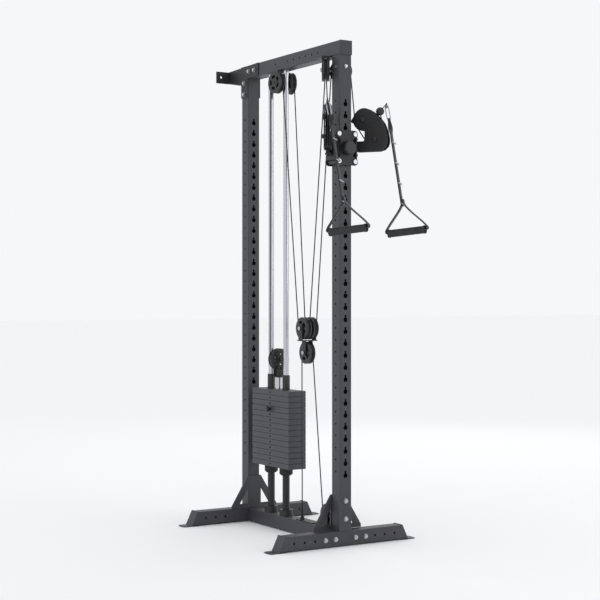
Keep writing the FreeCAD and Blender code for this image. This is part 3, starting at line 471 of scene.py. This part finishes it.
def handle(side):
    """The strap and grip of one handle, in place of their plain solids."""
    eye, along, across = handle_axes(side)
    body = side + "_handle_body"

    def at(distance, rise, over=0.0):
        return eye + along * distance + Vector((0, 0, rise)) + across * over

    pieces = []
    ring = []
    for k in range(LOOP_STEPS):
        angle = 2 * math.pi * k / LOOP_STEPS
        ring.append(at(CARABINER_BOTTOM[0], CARABINER_BOTTOM[1] + LOOP_RADIUS * math.sin(angle),
                       LOOP_RADIUS * math.cos(angle)))
    tilted = (along + Vector((0, 0, 0.2))).normalized()
    loop = band(ring, [tilted] * LOOP_STEPS, [LOOP_WIDTH] * LOOP_STEPS, LOOP_THICK, True)
    pieces.append(mesh_object(side + "_strap_loop", loop, MATERIALS["webbing"], body))

    stem, ways, widths = [], [], []
    for k in range(STEM_STEPS + 1):
        share = k / STEM_STEPS
        stem.append(at(STEM_TOP[0] + (FORK[0] - STEM_TOP[0]) * share,
                       STEM_TOP[1] + (FORK[1] - STEM_TOP[1]) * share))
        turn = min(1.0, share / 0.16)
        turn = turn * turn * (3 - 2 * turn) * math.pi / 2
        ways.append(along * math.cos(turn) + across * math.sin(turn))
        widths.append(0.012 + 0.013 * min(1.0, share / 0.12))
    pieces.append(mesh_object(side + "_strap_stem", band(stem, ways, widths, STEM_THICK),
                              MATERIALS["webbing"], body))

    reach_d, reach_z = GRIP_LENGTH / 2 * math.cos(GRIP_TILT), GRIP_LENGTH / 2 * math.sin(GRIP_TILT)
    left = (GRIP_CENTRE[0] - reach_d, GRIP_CENTRE[1] - reach_z)
    right = (GRIP_CENTRE[0] + reach_d, GRIP_CENTRE[1] + reach_z)
    corners = [(FORK[0] - 0.001, FORK[1] + 0.030), FORK, (left[0] - 0.0075, left[1] + 0.018),
               (left[0] - 0.0095, left[1] + 0.002), (left[0] - 0.002, left[1]),
               (left[0] + 0.03, left[1] + 0.001),
               (right[0] - 0.03, right[1] - 0.001), (right[0] + 0.002, right[1]),
               (right[0] + 0.0095, right[1] + 0.002), (right[0] + 0.0085, right[1] + 0.016),
               (FORK[0] + 0.008, FORK[1] + 0.002), (FORK[0] + 0.003, FORK[1] + 0.030)]
    path = smooth_path([at(d, z) for d, z in corners])
    count = len(path)
    triangle = band(path, [across] * count, [TRIANGLE_WIDTH] * count, TRIANGLE_THICK)
    pieces.append(mesh_object(side + "_strap_triangle", triangle, MATERIALS["webbing"], body))
    for piece in pieces:
        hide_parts(side + "_strap")
    stitching(side, at, across, body)

    grip_axis = (at(*right) - at(*left)).normalized()
    half = GRIP_LENGTH / 2
    profile = [(0.0133, -half + 0.028), (0.0133, -half + 0.0015), (0.0145, -half), (0.0160, -half),
               (0.0172, -half + 0.0015), (0.0172, -half + 0.0085), (0.0162, -half + 0.0100)]
    ribs = 26
    start, end = -half + 0.0115, half - 0.0115
    for k in range(ribs):
        base = start + (end - start) * k / ribs
        pitch = (end - start) / ribs
        profile += [(0.0153, base + 0.1 * pitch), (0.0159, base + 0.25 * pitch),
                    (0.0159, base + 0.75 * pitch), (0.0153, base + 0.9 * pitch)]
    profile += [(0.0162, half - 0.0100), (0.0172, half - 0.0085), (0.0172, half - 0.0015), (0.0160, half),
                (0.0145, half), (0.0133, half - 0.0015), (0.0133, half - 0.028)]
    grip = mesh_object(side + "_grip_sleeve", lathe(at(*GRIP_CENTRE), grip_axis, profile, 56),
                       MATERIALS["foam"], body)
    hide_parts(side + "_grip")


def stitching(side, at, across, body):
    """Box stitches where the strap's D-rings are sewn on."""
    data = bmesh.new()
    for z in (-0.150, -0.170, -0.236, -0.256, -0.320, -0.340, -0.075):
        share = (z - STEM_TOP[1]) / (FORK[1] - STEM_TOP[1])
        distance = STEM_TOP[0] + share * (FORK[0] - STEM_TOP[0])
        for face in (-1, 1):
            for k in range(6):
                over = -0.0095 + 0.0038 * k
                centre = at(distance + face * 0.0033, z, over)
                matrix = Matrix.Translation(centre) @ Matrix.Rotation(math.atan2(across.y, across.x), 4, "Z")
                bmesh.ops.create_icosphere(data, subdivisions=2, radius=0.0010,
                                           matrix=matrix @ Matrix.Diagonal((1.7, 0.45, 0.45, 1)))
    mesh_object(side + "_strap_stitches", data, THREAD, body)


# ---- stage ----

def studio():
    """A pale floor, soft lights and the camera."""
    bpy.ops.mesh.primitive_plane_add(size=90, location=(0, 0, 0))
    floor = bpy.context.object
    floor.name = "studio_floor"
    material, _, shader = new_material("studio_floor_paint", (0.97, 0.972, 0.975), 0.9)
    shader.inputs["Specular IOR Level"].default_value = 0.1
    floor.data.materials.append(material)

    world = bpy.data.worlds.new("studio_world")
    world.use_nodes = True
    world.node_tree.nodes["Background"].inputs["Color"].default_value = (0.92, 0.93, 0.945, 1)
    world.node_tree.nodes["Background"].inputs["Strength"].default_value = 1.0
    bpy.context.scene.world = world

    for name, place, size, power in (("key", (3.2, -5.2, 2.4), 2.6, 26.0),
                                     ("rim", (3.5, 3.0, 2.8), 2.0, 14.0)):
        light = bpy.data.lights.new(name, "AREA")
        light.size = size
        light.energy = power
        lamp = bpy.data.objects.new(name, light)
        lamp.location = place
        aim = Vector((0, 0, 1.0)) - Vector(place)
        lamp.rotation_euler = aim.to_track_quat("-Z", "Y").to_euler()
        bpy.context.scene.collection.objects.link(lamp)

    lens = bpy.data.cameras.new("camera")
    lens.sensor_width = 36.0
    lens.lens = 83.22
    lens.shift_x = -0.0009
    lens.shift_y = -0.0111
    lens.clip_end = 200.0
    camera = bpy.data.objects.new("camera", lens)
    camera.location = (-3.2006, -5.2399, 1.0563)
    camera.rotation_euler = (math.radians(90), 0, math.radians(-31.7))
    bpy.context.scene.collection.objects.link(camera)
    bpy.context.scene.camera = camera
    bpy.context.scene.view_settings.view_transform = "Standard"


paint_frame()
pulley_bolts()
arm_bolts()
block_bolt_sockets()
cable_strands()
for hand in ("left", "right"):
    handle(hand)
studio()
